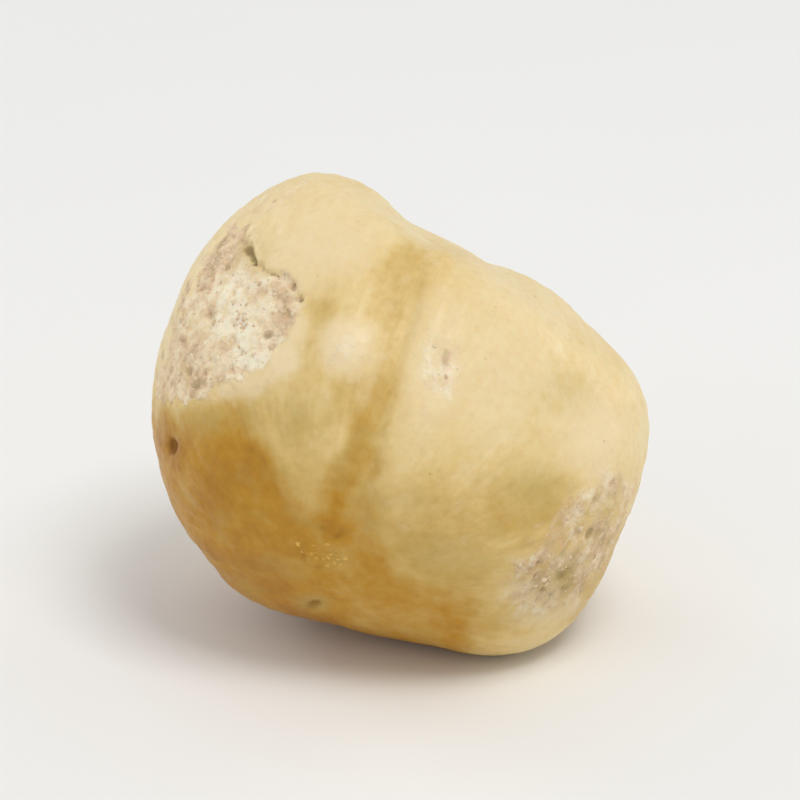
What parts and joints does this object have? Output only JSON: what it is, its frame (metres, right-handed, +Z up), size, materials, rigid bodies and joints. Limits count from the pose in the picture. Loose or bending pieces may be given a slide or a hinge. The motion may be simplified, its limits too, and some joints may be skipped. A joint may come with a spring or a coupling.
{
  "type": "hazelnut",
  "caption": "Blanched hazelnut kernel with furrows running from base to tip and a short blunt tip, lying on its side on a small flat spot.",
  "frame": {"origin": "on the surface that the kernel rests on, below the middle of its box", "axes": "+Z up from the rest spot; the kernel's base faces the viewer at -Y and points down, and its tip points away along +Y and up"},
  "size_m": [0.0152, 0.015, 0.014],
  "materials": {
    "kernel": "waxy and satin, mealy and matt in patches"
  },
  "bodies": {
    "root": {"hazelnut_kernel": "kernel"}
  },
  "joints": []
}
